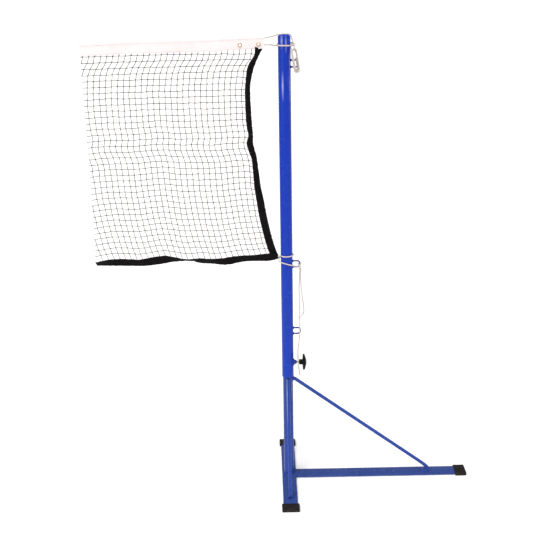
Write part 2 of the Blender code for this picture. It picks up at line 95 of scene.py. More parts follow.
# Outlines of the black tapes, which twist as they hang. Side: (z, outer x, inner x).
SIDE_WIDTH, SIDE_LENGTH = 0.0252, 0.706
BOTTOM_WIDTH, BOTTOM_LENGTH = 0.0290, 0.612
BOTTOM_LEAN = radians(18.8)  # the bottom tape's outline is as it shows from this far above level
TAPE_THICK = 0.0018
SIDE_TAPE = [(1.519, -0.0670, -0.0905), (1.496, -0.0790, -0.0940), (1.460, -0.0950, -0.1150),
             (1.422, -0.1050, -0.1215), (1.385, -0.1090, -0.1250), (1.309, -0.1070, -0.1245),
             (1.270, -0.1050, -0.1215), (1.251, -0.1035, -0.1170), (1.231, -0.1030, -0.1215),
             (1.212, -0.1025, -0.1225), (1.172, -0.0930, -0.1095), (1.133, -0.0880, -0.1060),
             (1.073, -0.0810, -0.1020), (1.032, -0.0730, -0.0965), (0.971, -0.0625, -0.0880),
             (0.908, -0.0490, -0.0750), (0.866, -0.0375, -0.0640), (0.829, -0.0245, -0.0510)]
# Bottom: (x, upper z, lower z).
BOTTOM_TAPE = [(-0.027, 0.8440, 0.8285), (-0.042, 0.8460, 0.8225), (-0.067, 0.8450, 0.8190),
               (-0.107, 0.8410, 0.8200), (-0.147, 0.8400, 0.8185), (-0.187, 0.8360, 0.8105),
               (-0.208, 0.8325, 0.8085), (-0.248, 0.8300, 0.8135), (-0.288, 0.8325, 0.8165),
               (-0.308, 0.8315, 0.8230), (-0.328, 0.8300, 0.8250), (-0.348, 0.8325, 0.8250),
               (-0.388, 0.8420, 0.8215), (-0.408, 0.8445, 0.8175), (-0.448, 0.8400, 0.8120),
               (-0.488, 0.8325, 0.8100), (-0.528, 0.8350, 0.8110), (-0.568, 0.8360, 0.8120),
               (-0.609, 0.8310, 0.8135), (-0.636, 0.8250, 0.8150)]
TOP_CORD = [(-0.0620, 0.0000, 1.5487), (-0.0500, 0.0030, 1.5502), (-0.0376, 0.0065, 1.5524),
            (-0.0270, 0.0100, 1.5545), (-0.0185, 0.0130, 1.5566), (-0.0080, 0.0160, 1.5576),
            (0.0040, 0.0170, 1.5578), (0.0130, 0.0155, 1.5580), (0.0190, 0.0120, 1.5565),
            (0.0232, 0.0085, 1.5515), (0.0246, 0.0050, 1.5440), (0.0262, 0.0000, 1.5385),
            (0.0270, -0.0043, 1.5337)]
LONG_TAIL = [(0.0430, -0.0086, 0.7963), (0.0432, -0.0084, 0.7850), (0.0421, -0.0084, 0.7585),
             (0.0406, -0.0084, 0.7242), (0.0412, -0.0080, 0.6805), (0.0409, -0.0080, 0.6359),
             (0.0402, -0.0080, 0.6137), (0.0415, -0.0080, 0.5914), (0.0424, -0.0082, 0.5713),
             (0.0410, -0.0084, 0.5440), (0.0378, -0.0084, 0.5172), (0.0350, -0.0084, 0.4880),
             (0.0352, -0.0084, 0.4600), (0.0356, -0.0090, 0.4440), (0.0384, -0.0115, 0.4224),
             (0.0408, -0.0128, 0.4010)]
SHORT_TAIL = [(0.0474, -0.0104, 0.7955), (0.0468, -0.0112, 0.7860), (0.0463, -0.0116, 0.7726),
              (0.0474, -0.0116, 0.7319), (0.0524, -0.0120, 0.6820), (0.0562, -0.0124, 0.6485),
              (0.0545, -0.0128, 0.6345), (0.0480, -0.0132, 0.6250), (0.0425, -0.0134, 0.6190)]
HANK_TOP = Vector((0.0290, -0.0152, 1.5120))
HANK_BOTTOM = Vector((0.0390, -0.0152, 1.4500))
TOP_KNOT = Vector((0.0281, -0.0070, 1.5284))
RING_KNOT = Vector((0.0440, -0.0086, 0.8020))

# ---- netting ----
ROWS = 35
CELL = 0.0185  # column spacing beside the post; it grows a little along the net
ROW_EDGE = [(-0.640, 1.5004), (-0.100, 1.5082), (-0.060, 1.5092)]  # the uppermost row: (x, z)
ROW_TOP, ROW_BOTTOM = 1.5082, 0.8470  # heights of the first row and the hem, beside the side tape
TWINE_RADIUS = 0.00098
NET_KNOT_RADIUS = 0.0017

# ---- camera ----
CAMERA_PLACE = (-0.0689, -3.0820, 1.8806)
CAMERA_DOWN, CAMERA_ROLL, CAMERA_YAW = radians(19.329), radians(-1.086), radians(0.023)
CAMERA_LENS = 65.89


# ---- colour and material helpers ----
def linear(red, green, blue):
    """A colour given as it shows on a screen, 0 to 255, for a shader."""
    parts = [c / 255 for c in (red, green, blue)]
    return tuple(p / 12.92 if p <= 0.04045 else ((p + 0.055) / 1.055) ** 2.4 for p in parts) + (1.0,)


class Finish:
    """A Principled material, with short ways to add the nodes that finishes share."""

    def __init__(self, name, roughness, metallic=0.0):
        self.material = bpy.data.materials.new(name)
        self.material.use_nodes = True
        self.tree = self.material.node_tree
        self.shader = self.tree.nodes["Principled BSDF"]
        self.shader.inputs["Roughness"].default_value = roughness
        self.shader.inputs["Metallic"].default_value = metallic
        self.place = self.tree.nodes.new("ShaderNodeTexCoord")

    def put(self, socket, value):
        if isinstance(value, bpy.types.NodeSocket):
            self.tree.links.new(value, socket)
        else:
            socket.default_value = value

    def node(self, kind, inputs, output=0, **settings):
        made = self.tree.nodes.new("ShaderNode" + kind)
        for key, value in settings.items():
            setattr(made, key, value)
        for key, value in inputs.items():
            self.put(made.inputs[key], value)
        return made.outputs[output]

    def noise(self, scale, detail=3.0, stretch=None, where="Object"):
        spot = self.place.outputs[where]
        if stretch:
            spot = self.node("Mapping", {"Vector": spot, "Scale": stretch})
        return self.node("TexNoise", {"Vector": spot, "Scale": scale, "Detail": detail})

    def axes(self, where="Object"):
        split = self.tree.nodes.new("ShaderNodeSeparateXYZ")
        self.put(split.inputs[0], self.place.outputs[where])
        return split.outputs

    def ramp(self, value, low, high, out_low=0.0, out_high=1.0):
        return self.node("MapRange", {"Value": value, "From Min": low, "From Max": high,
                                      "To Min": out_low, "To Max": out_high})

    def maths(self, operation, a, b=0.0):
        return self.node("Math", {0: a, 1: b}, operation=operation)

    def mix(self, share, a, b):
        made = self.tree.nodes.new("ShaderNodeMix")
        made.data_type = "RGBA"
        self.put(made.inputs[0], share)
        self.put(made.inputs[6], a)
        self.put(made.inputs[7], b)
        return made.outputs[2]

    def colour(self, value):
        self.put(self.shader.inputs["Base Color"], value)

    def rough(self, value):
        self.put(self.shader.inputs["Roughness"], value)

    def bump(self, height, distance, under=None):
        inputs = {"Height": height, "Distance": distance, "Strength": 1.0}
        if under is not None:
            inputs["Normal"] = under
        made = self.node("Bump", inputs)
        self.put(self.shader.inputs["Normal"], made)
        return made

    def shine(self, level):
        self.shader.inputs["Specular IOR Level"].default_value = level


def painted_highlight_streak(f, axes, across, half_width, low, high):
    """A painted highlight: a pale upright streak on a post's front, fading at its sides and ends."""
    # Only the side facing -Y, towards the camera, gets the painted highlight.
    mark = f.maths("LESS_THAN", axes[1], 0.0)
    for axis, middle, reach in ((0, across, half_width), (2, (low + high) / 2, (high - low) / 2)):
        off = f.maths("ABSOLUTE", f.maths("SUBTRACT", axes[axis], middle))
        mark = f.maths("MULTIPLY", f.ramp(off, 0.0, reach, 1.0, 0.0), mark)
    return mark


def paint(name, main, shade, worn, greying=0.28, scuffed=0.35, painted_highlights=()):
    """Gloss enamel: faint patches, orange peel, dull scuffs, paler towards the floor, and painted highlight
    streaks where given.
    """
    f = Finish(name, 0.3)
    axes = f.axes()
    # Paler towards the floor: more of the worn colour the lower it is, from z 1.25 down to 0.35.
    paler_low = f.ramp(axes[2], 0.35, 1.25, greying, 0.0)
    patches = f.ramp(f.noise(9.0, 3.0, (1, 1, 0.35)), 0.35, 0.68)
    scuffs = f.ramp(f.noise(60.0, 6.0, (1, 1, 0.3)), 0.60, 0.74)
    scuffs_and_paler_low = f.maths("MAXIMUM", f.maths("MULTIPLY", scuffs, scuffed), paler_low)
    colour = f.mix(scuffs_and_paler_low, f.mix(patches, main, shade), worn)
    # Painted highlight streaks, broken up by fine noise, mixed towards a pale colour.
    if painted_highlights:
        marks = 0.0
        for mark in painted_highlights:
            marks = f.maths("MAXIMUM", painted_highlight_streak(f, axes, *mark), marks)
        broken = f.ramp(f.noise(110.0, 4.0, (1, 1, 0.10)), 0.30, 0.62, 0.25, 1.0)
        colour = f.mix(f.maths("MULTIPLY", f.maths("MULTIPLY", marks, broken), PAINTED_HIGHLIGHT_STRENGTH), colour, PAINTED_HIGHLIGHT_COLOUR)
    f.colour(colour)
    sheen = f.ramp(f.noise(35.0, 4.0), 0.3, 0.7, 0.18, 0.30)
    f.rough(f.maths("ADD", sheen, f.maths("MULTIPLY", scuffs, 0.16)))
    peel = f.bump(f.noise(420.0, 2.0), 0.00006)
    f.bump(scuffs, 0.00002, peel)
    f.shine(0.16)
    return f.material


def moulded(name, main, pale, roughness, grain, depth, shine=0.2):
    """Rubber or plastic with a moulded grain and handling marks."""
    f = Finish(name, roughness)
    marks = f.ramp(f.noise(45.0, 5.0), 0.42, 0.72)
    f.colour(f.mix(f.maths("MULTIPLY", marks, 0.6), main, pale))
    f.rough(f.ramp(f.noise(80.0, 4.0), 0.3, 0.7, roughness - 0.08, roughness + 0.10))
    cells = f.node("TexVoronoi", {"Vector": f.place.outputs["Object"], "Scale": grain})
    under = f.bump(cells, depth)
    f.bump(f.noise(grain * 0.4, 3.0), depth * 0.8, under)
    f.shine(shine)
    return f.material


def bare_metal(name, main, tarnish, roughness):
    """Zinc or brass, dulled in patches."""
    f = Finish(name, roughness, 1.0)
    f.colour(f.mix(f.ramp(f.noise(260.0, 5.0), 0.40, 0.72), main, tarnish))
    f.rough(f.ramp(f.noise(500.0, 4.0), 0.3, 0.7, roughness - 0.08, roughness + 0.12))
    f.bump(f.noise(900.0, 3.0), 0.00002)
    return f.material


def woven(name, main, worn, pitch, depth, roughness, soil):
    """Webbing: a plain weave on the piece's own length and width (its UVs, in metres)."""
    f = Finish(name, roughness)
    along, across = f.axes("UV")[:2]
    wave = 2 * pi / pitch
    warp = f.maths("SINE", f.maths("MULTIPLY", along, wave))
    weft = f.maths("SINE", f.maths("MULTIPLY", across, wave * 0.75))
    height = f.ramp(f.maths("MULTIPLY", warp, weft), -1.0, 1.0)
    stain = f.ramp(f.noise(22.0, 5.0), 0.38, 0.74)
    fuzz = f.noise(1500.0, 3.0)
    greying = f.maths("MULTIPLY", f.maths("MAXIMUM", stain, f.ramp(height, 0.55, 1.0, 0.0, 0.7)), soil)
    f.colour(f.mix(greying, main, worn))
    under = f.bump(height, depth)
    f.bump(fuzz, depth * 0.6, under)
    f.shine(0.1)
    return f.material


def fibre(name, main, worn, scale, depth, soil=0.5):
    """Twine or braided cord: fine fibres over the piece's own relief."""
    f = Finish(name, 0.85)
    dirt = f.ramp(f.noise(70.0, 5.0), 0.35, 0.75)
    strands = f.ramp(f.noise(scale, 3.0, (1, 1, 0.4)), 0.35, 0.65)
    dull = f.maths("MAXIMUM", dirt, f.maths("MULTIPLY", strands, 0.5))
    f.colour(f.mix(f.maths("MULTIPLY", dull, soil), main, worn))
    f.bump(strands, depth)
    f.shine(0.15)
    return f.material


# Painted highlights: pale streaks on the posts' fronts where lamps show in the gloss; their strength, colour
# and places as (x, half width, low z, high z).
PAINTED_HIGHLIGHT_STRENGTH = 0.62
PAINTED_HIGHLIGHT_COLOUR = linear(196, 200, 222)
UPPER_PAINTED_HIGHLIGHTS = [(-0.0065, 0.0042, 1.352, 1.452), (0.0160, 0.0022, 1.350, 1.440), (-0.0085, 0.0048, 1.512, 1.570),
              (0.0050, 0.0036, 1.500, 1.566), (0.0155, 0.0022, 1.440, 1.515)]
LOWER_PAINTED_HIGHLIGHTS = [(-0.0045, 0.0020, 0.230, 0.440), (0.0120, 0.0014, 0.300, 0.400)]

# The two post paints carry the painted highlight streaks.
MATERIALS = {
    "paint_upper": paint("upper_paint", linear(4, 44, 162), linear(10, 50, 167), linear(52, 80, 168),
                         painted_highlights=UPPER_PAINTED_HIGHLIGHTS),
    "paint_lower": paint("lower_paint", linear(14, 50, 140), linear(24, 60, 146), linear(70, 88, 150),
                         painted_highlights=LOWER_PAINTED_HIGHLIGHTS),
    "paint_ring": paint("ring_paint", linear(18, 32, 118), linear(24, 40, 130), linear(70, 84, 150)),
    "rubber_black": moulded("cap_rubber", linear(20, 16, 17), linear(50, 42, 39), 0.62, 700.0, 0.00010),
    "plastic_black": moulded("knob_plastic", linear(8, 6, 7), linear(18, 16, 17), 0.5, 1400.0, 0.00004,
                             shine=0.1),
    "steel_zinc": bare_metal("thread_zinc", linear(196, 194, 190), linear(130, 120, 104), 0.32),
    "nylon": moulded("bush_nylon", linear(150, 150, 152), linear(180, 180, 180), 0.5, 900.0, 0.00003),
    "tape_white": woven("head_tape_weave", linear(236, 226, 226), linear(212, 196, 194), 0.0011, 0.00010,
                        roughness=0.8, soil=0.35),
    "tape_black": woven("black_tape_weave", linear(8, 6, 8), linear(32, 28, 30), 0.0013, 0.00016,
                        roughness=0.82, soil=0.25),
    "twine": fibre("net_twine", linear(44, 35, 36), linear(84, 72, 70), 1800.0, 0.00008),
    "brass": bare_metal("eyelet_brass", linear(206, 168, 92), linear(140, 100, 44), 0.28),
    "cord": fibre("tie_cord", linear(206, 196, 192), linear(162, 148, 142), 1100.0, 0.00010),
}
BAR_PAINT = paint("bar_paint", linear(34, 58, 124), linear(42, 66, 132), linear(66, 84, 144), scuffed=0.15)
THREAD = fibre("sewing_thread", linear(228, 216, 214), linear(190, 176, 172), 3000.0, 0.00003)
DARK_THREAD = fibre("dark_thread", linear(48, 42, 45), linear(76, 68, 68), 3000.0, 0.00003)


# ---- geometry helpers ----
def placed(name, data):
    """A new object in the scene."""
    obj = bpy.data.objects.new(name, data)
    bpy.context.scene.collection.objects.link(obj)
    return obj


def mesh_of(name, bm):
    mesh = bpy.data.meshes.new(name)
    bm.to_mesh(mesh)
    bm.free()
    return mesh


def piece(name, bm, slot, body, replaces=(), material=None, sharp=35):
    """Turns a bmesh into a finished piece of the object."""
    bmesh.ops.recalc_face_normals(bm, faces=bm.faces)
    mesh = mesh_of(name, bm)
    mesh.shade_smooth()
    if sharp:
        mesh.set_sharp_from_angle(angle=radians(sharp))
    mesh.materials.append(material or MATERIALS[slot])
    obj = placed(name, mesh)
    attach(obj, body)
    if replaces:
        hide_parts(*replaces)
    return obj


def spline_point(a, b, c, d, t):
    """Catmull-Rom between b and c."""
    return 0.5 * (2 * b + (c - a) * t + (2 * a - 5 * b + 4 * c - d) * t * t + (3 * b - a - 3 * c + d) * t**3)


def smooth(points, step):
    """A smooth curve through the points, as points about one step apart, its two ends included."""
    knots = [Vector(p) for p in points]
    knots = [2 * knots[0] - knots[1]] + knots + [2 * knots[-1] - knots[-2]]
    fine = [knots[1]]
    for a, b, c, d in zip(knots, knots[1:], knots[2:], knots[3:]):
        fine += [spline_point(a, b, c, d, i / 24) for i in range(1, 25)]
    return respaced(fine, step)


def respaced(fine, step):
    """Points evenly about one step apart on a polyline."""
    lengths = [0.0]
    for p, q in zip(fine, fine[1:]):
        lengths.append(lengths[-1] + (q - p).length)
    count = max(2, round(lengths[-1] / step))
    result, at = [], 0
    for i in range(count + 1):
        want = lengths[-1] * i / count
        while at < len(fine) - 2 and lengths[at + 1] < want:
            at += 1
        share = (want - lengths[at]) / max(lengths[at + 1] - lengths[at], 1e-9)
        result.append(fine[at].lerp(fine[at + 1], min(share, 1.0)))
    return result


def value_at(line, x, axis=0, other=1):
    """Linear reading of a polyline that runs one way along axis."""
    ordered = line if line[0][axis] < line[-1][axis] else line[::-1]
    for p, q in zip(ordered, ordered[1:]):
        if x <= q[axis]:
            break
    share = (x - p[axis]) / (q[axis] - p[axis])
    share = min(max(share, 0.0), 1.0)
    return p[other] + share * (q[other] - p[other])


def skin(bm, loops, uv_at=None, closed=False, ends=False):
    """Adds the faces between each loop of corners and the next; uv_at(loop, corner) gives their UVs."""
    uv = bm.loops.layers.uv.verify() if uv_at else None
    count = len(loops[0])
    for i in range(len(loops) if closed else len(loops) - 1):
        low, high = loops[i], loops[(i + 1) % len(loops)]
        for k in range(count):
            j = (k + 1) % count
            face = bm.faces.new((low[k], low[j], high[j], high[k]))
            if uv_at:
                for corner, at in zip(face.loops, ((i, k), (i, k + 1), (i + 1, k + 1), (i + 1, k))):
                    corner[uv].uv = uv_at(*at)
    if ends:
        bm.faces.new(loops[0])
        bm.faces.new(loops[-1])


def turned(bm, profile, segments=64, axis="Z", centre=(0, 0, 0), closed=False, radius_of=None):
    """Adds a turned body: profile is (along, radius); radius_of(radius, along, turn) may vary it."""
    loops = []
    for along, radius in profile:
        loop = []
        for i in range(segments):
            turn = 2 * pi * i / segments
            r = radius_of(radius, along, turn) if radius_of else radius
            u, v = r * cos(turn), r * sin(turn)
            spot = {"Z": (u, v, along), "X": (along, u, v), "Y": (u, along, v)}[axis]
            loop.append(bm.verts.new(Vector(spot) + Vector(centre)))
        loops.append(loop)
    skin(bm, loops, closed=closed, ends=not closed)
    return bm


def swept(bm, points, radius, sides=16, relief=None, rounded_end=False):
    """Adds a tube along the points; relief(distance, turn) scales its radius. UVs are in metres."""
    line = [Vector(p) for p in points]
    across = (line[1] - line[0]).normalized().orthogonal().normalized()
    loops, distances, travelled = [], [], 0.0
    for i, p in enumerate(line):
        before = (p - line[i - 1]).normalized() if i else (line[1] - line[0]).normalized()
        after = (line[i + 1] - p).normalized() if i < len(line) - 1 else before
        along = (before + after).normalized()
        across = (across - across.dot(along) * along).normalized()
        up = along.cross(across)
        travelled += (p - line[i - 1]).length if i else 0.0
        distances.append(travelled)
        loop = []
        for k in range(sides):
            turn = 2 * pi * k / sides
            r = radius * (relief(travelled, turn) if relief else 1.0)
            loop.append(bm.verts.new(p + r * (cos(turn) * across + sin(turn) * up)))
        loops.append(loop)
    skin(bm, loops, lambda i, k: (distances[i], k / sides * 2 * pi * radius))
    for loop, way in ((loops[0], -1), (loops[-1], 1)):
        end, near = (line[0], line[1]) if way < 0 else (line[-1], line[-2])
        out = (end - near).normalized() * radius * (0.55 if rounded_end else 0.12)
        tip = bm.verts.new(end + out)
        for k in range(sides):
            j = (k + 1) % sides
            bm.faces.new((loop[k], loop[j], tip) if way > 0 else (loop[j], loop[k], tip))
    return bm


def block(bm, low, high, bevel, segments=3):
    """Adds a box with rounded edges."""
    made = bmesh.ops.create_cube(bm, size=1.0)["verts"]
    for v in made:
        v.co = Vector([(a + b) / 2 + c * (b - a) for a, b, c in zip(low, high, v.co)])
    edges = list({e for v in made for e in v.link_edges})
    bmesh.ops.bevel(bm, geom=edges, offset=bevel, segments=segments, affect="EDGES", profile=0.5)
    return bm


def weld(bm, points, radius):
    """Adds a weld bead along the points, rippled as it was laid."""
    line = respaced([Vector(p) for p in points], 0.0006)

    def ripple(distance, turn):
        rough = noise.noise(Vector((distance * 300, turn, radius)))
        return 1.0 + 0.10 * abs(sin(distance * pi / 0.0022)) + 0.10 * rough

    swept(bm, line, radius, 10, ripple, rounded_end=True)


def circle(centre, radius, axis="Z", start=0.0, end=360.0, steps=48):
    points = []
    for i in range(steps + 1):
        turn = radians(start + (end - start) * i / steps)
        u, v = radius * cos(turn), radius * sin(turn)
        spot = {"Z": (u, v, 0), "X": (0, u, v), "Y": (u, 0, v)}[axis]
        points.append(Vector(centre) + Vector(spot))
    return points


# ---- steel base ----
def round_tube(name, radius, wall, low, high, slot, body):
    """A tube with slightly rounded cut ends."""
    edge, bore = 0.0004, radius - wall
    profile = [(low + edge, bore), (low, bore + edge), (low, radius - edge), (low + edge, radius)]
    steps = max(2, round((high - low) / 0.05))
    profile += [(low + edge + (high - low - 2 * edge) * i / steps, radius) for i in range(1, steps)]
    profile += [(high - edge, radius), (high, radius - edge), (high, bore + edge), (high - edge, bore)]
    bm = turned(bmesh.new(), profile, 96, closed=True)
    return piece(name + "_shell", bm, slot, body, [name])


def flat_bars():
    for name, (low, high) in (("cross_bar", (CROSS_LOW, CROSS_HIGH)), ("leg_bar", (LEG_LOW, LEG_HIGH))):
        bm = block(bmesh.new(), low, high, 0.0009)
        piece(name + "_steel", bm, "paint_lower", BASE, [name], BAR_PAINT)


def base_welds():
    bm = bmesh.new()
    weld(bm, circle((0, 0, BAR_TOP + 0.0004), LOWER_RADIUS + 0.0006), 0.0030)
    seam_x, inset = CROSS_HIGH.x + 0.0002, 0.001
    weld(bm, [(seam_x, y, BAR_TOP - 0.0008) for y in (LEG_LOW.y + inset, 0, LEG_HIGH.y - inset)], 0.0020)
    piece("foot_welds", bm, "paint_lower", BASE, sharp=60)


def foot_cap(name, turn):
    """Rubber sleeve with soft edges and two ribs round its mouth."""
    low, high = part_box(name)
    reach = max(abs(high.x), abs(low.x)) if turn == 0 else max(abs(high.y), abs(low.y))
    start, half, top = reach - FOOT_CAP_LENGTH, FOOT_CAP_HALF, high.z
    outside, inside = (half, 0.0, top), (0.0253, 0.0022, 0.0088)
    bm = bmesh.new()
    loops = []
    for x, (side, low_z, high_z) in ((reach, outside), (start, outside), (start, inside),
                                     (reach - FOOT_CAP_WALL, inside)):
        ring = ((-side, low_z), (side, low_z), (side, high_z), (-side, high_z))
        loops.append([bm.verts.new((x, y, z)) for y, z in ring])
    skin(bm, loops, ends=True)
    bmesh.ops.recalc_face_normals(bm, faces=bm.faces)
    shell = set(loops[0] + loops[1])
    edges = [e for e in bm.edges if e.verts[0] in shell and e.verts[1] in shell]
    bmesh.ops.bevel(bm, geom=edges, offset=0.0022, segments=4, affect="EDGES", profile=0.5)
    low_z, high_z, side = 0.0032, top - 0.0032, half - 0.0002
    for x in (start + 0.0045, start + 0.0085):
        lip = [(-half, low_z), (-half, high_z), (-0.86 * side, top), (0.86 * side, top),
               (side, high_z), (side, low_z)]
        swept(bm, respaced([Vector((x, y, z)) for y, z in lip], 0.002), 0.0006, 8)
    bmesh.ops.rotate(bm, verts=bm.verts, cent=(0, 0, 0), matrix=Matrix.Rotation(turn, 3, "Z"))
    return piece(name + "_rubber", bm, "rubber_black", BASE, [name], sharp=50)


def brace_stations(foot, steep):
    """(x, z, half thickness, half width) along a brace, from the post to the tip of its foot."""
    full = ROD_RADIUS
    if steep:
        hold = LOWER_RADIUS + full + 0.0003
        route = [(hold, 0.3920, full * 0.55, full * 0.55), (hold, 0.3910, full * 0.9, full * 0.9),
                 (hold, 0.3880, full, full), (hold + 0.0001, 0.3765, full, full),
                 (hold + 0.0012, 0.3650, full, full)]
    else:
        route = [(LOWER_RADIUS - 0.0005, 0.3868, full * 0.8, full * 1.1),
                 (0.0206, 0.3858, full * 0.95, full * 1.05),
                 (0.0250, 0.3830, full, full), (0.0330, 0.3770, full, full)]
    top = Vector(route[-1][:2])
    bend = Vector((foot - 0.004, BAR_TOP + 0.020))
    for share in (0.1, 0.3, 0.5, 0.7, 0.9, 0.96):
        spot = top.lerp(bend, share)
        route.append((spot.x, spot.y, full, full))
    # From the bend the foot is flattened and turned back: (x past the bend, z over the bar, half sizes).
    for past, over, thick, wide in (
            (-0.0012, 0.0155, full, full), (0.0006, 0.0110, full * 0.96, full * 1.05),
            (0.0012, 0.0061, full * 0.78, full * 1.2), (-0.0004, 0.0037, 0.0032, full * 1.35),
            (-0.0050, 0.0025, 0.0023, full * 1.48), (-0.0110, 0.0023, 0.0020, full * 1.5),
            (-0.0175, 0.0023, 0.0019, full * 1.5), (-0.0212, 0.0022, 0.0016, full * 1.36),
            (-0.0225, 0.0021, 0.0008, full * 1.05)):
        route.append((foot + past, BAR_TOP + over, thick, wide))
    return route


def brace(name, turn, foot, steep, sides=28):
    """A bent rod, its foot flattened and turned back under it, with its welds."""
    stations = [(Vector((x, 0, z)), a, b) for x, z, a, b in brace_stations(foot, steep)]
    line = smooth([s[0] for s in stations], 0.002)
    marks = [min(range(len(line)), key=lambda i: (line[i] - s[0]).length) for s in stations]
    bm = bmesh.new()
    loops = []
    for i, p in enumerate(line):
        at = max(k for k in range(len(marks)) if marks[k] <= i)
        after = min(at + 1, len(marks) - 1)
        share = (i - marks[at]) / max(marks[after] - marks[at], 1)
        thick = stations[at][1] + share * (stations[after][1] - stations[at][1])
        wide = stations[at][2] + share * (stations[after][2] - stations[at][2])
        along = (line[min(i + 1, len(line) - 1)] - line[max(i - 1, 0)]).normalized()
        normal = Vector((along.z, 0, -along.x))
        square = 1.0 - 0.35 * min(max((wide / thick - 1.3) / 1.5, 0.0), 1.0)
        loop = []
        for k in range(sides):
            c, s = cos(2 * pi * k / sides), sin(2 * pi * k / sides)
            c, s = abs(c) ** square * (1 if c > 0 else -1), abs(s) ** square * (1 if s > 0 else -1)
            loop.append(bm.verts.new(p + normal * thick * c + Vector((0, wide * s, 0))))
        loops.append(loop)
    skin(bm, loops, ends=True)
    deck = BAR_TOP + 0.0006
    weld(bm, [(foot - 0.021, 0.0088, deck), (foot - 0.010, 0.0096, deck), (foot + 0.001, 0.0086, deck),
              (foot + 0.0070, 0.0040, deck), (foot + 0.0074, -0.0030, deck), (foot + 0.001, -0.0086, deck),
              (foot - 0.010, -0.0096, deck), (foot - 0.021, -0.0088, deck)], 0.0019)
    if steep:
        hold = LOWER_RADIUS + 0.0012
        for side in (-1, 1):
            bead = ((0.0042, 0.3905), (0.0048, 0.3835), (0.0046, 0.3755))
            weld(bm, [(hold, side * y, z) for y, z in bead], 0.0022)
    else:
        weld(bm, circle((LOWER_RADIUS + 0.0014, 0, 0.3850), 0.0064, "X"), 0.0021)
    bmesh.ops.rotate(bm, verts=bm.verts, cent=(0, 0, 0), matrix=Matrix.Rotation(turn, 3, "Z"))
    return piece(name + "_rod", bm, "paint_lower", BASE, [name], sharp=60)


# ---- upper post ----
def post_cap():
    """Pressed steel cap: a low dome with a rolled rim and its spigot."""
    seat = UPPER_HIGH.z + 0.0003
    height = CAP_HIGH.z - seat
    radius = UPPER_RADIUS
    profile = [(seat - 0.014, radius - 0.0045), (seat - 0.014, radius - 0.0021), (seat, radius - 0.0021),
               (seat, radius - 0.0004), (seat + 0.0004, radius + 0.0001), (seat + 0.0010, radius + 0.0001)]
    for i in range(1, 15):
        lean = pi / 2 * i / 15
        profile.append((seat + 0.0010 + (height - 0.0010) * sin(lean), radius * cos(lean) ** 0.92))
    profile.append((seat + height, 0.0006))
    bm = turned(bmesh.new(), [(seat - 0.003, radius - 0.0045)] + profile, 96)
    piece("post_cap_dome", bm, "paint_upper", MAST, ["post_cap"])


def cord_ring(name):
    low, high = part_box(name)
    height, half = (low.z + high.z) / 2, (high.z - low.z) / 2 - RING_WIRE_RADIUS
    out, bend = high.x - RING_WIRE_RADIUS, 0.0088
    points = [Vector((UPPER_RADIUS - 0.001, 0, height + half)), Vector((out - bend, 0, height + half))]
    points += circle((out - bend, 0, height + half - bend), bend, "Y", 90, 0, 12)
    points += circle((out - bend, 0, height - half + bend), bend, "Y", 0, -90, 12)
    points.append(Vector((UPPER_RADIUS - 0.001, 0, height - half)))
    bm = swept(bmesh.new(), respaced(points, 0.0016), RING_WIRE_RADIUS, 20)
    for z in (height + half, height - half):
        weld(bm, circle((UPPER_RADIUS + 0.0010, 0, z), RING_WIRE_RADIUS + 0.0006, "X"), 0.0015)
    piece(name + "_wire", bm, "paint_ring", MAST, [name], sharp=60)


def clamp_nut():
    """Turned boss with a rounded shoulder, its weld and the first threads of its bore."""
    root, nose, bore = UPPER_RADIUS - 0.0015, NUT_HIGH.x, 0.0043
    profile = [(root, bore), (root, 0.0102), (0.0212, 0.0099), (0.0228, 0.0090), (0.0250, 0.0076),
               (0.0275, 0.0068), (nose - 0.0006, 0.0065), (nose, 0.0059), (nose, bore + 0.0008)]
    profile += [(nose - 0.0006 - 0.00062 * i, bore + (0.0 if i % 2 else 0.0005)) for i in range(6)]
    bm = turned(bmesh.new(), profile, 64, "X", (0, 0, CLAMP_Z), closed=True)
    wall = UPPER_RADIUS + 0.0006
    weld(bm, [(sqrt(wall**2 - p.y**2), p.y, p.z) for p in circle((0, 0, CLAMP_Z), 0.0104, "X")], 0.0021)
    piece("clamp_nut_boss", bm, "paint_lower", MAST, ["clamp_nut"], sharp=50)


# ---- clamp screw ----
def clamp_stud():
    """M8 thread: the radius falls and rises once each pitch, around and along the stud."""
    crest = 0.0040
    low, high = STUD_LOW.x, STUD_HIGH.x

    def thread(radius, along, turn):
        phase = (along / THREAD_PITCH - turn / (2 * pi)) % 1.0
        groove = 0.00068 * max(0.0, 1.0 - abs(phase - 0.5) * 2.4)
        return radius - groove if low + 0.0012 < along < high - 0.001 else radius

    steps = round((high - low) / (THREAD_PITCH / 8))
    chamfer = low + 0.0008
    profile = [(low, crest - 0.0011)]
    profile += [(chamfer + (high - chamfer) * i / steps, crest) for i in range(steps + 1)]
    bm = turned(bmesh.new(), profile, 40, "X", (0, 0, CLAMP_Z), radius_of=thread)
    piece("clamp_stud_thread", bm, "steel_zinc", KNOB, ["clamp_stud"], sharp=25)


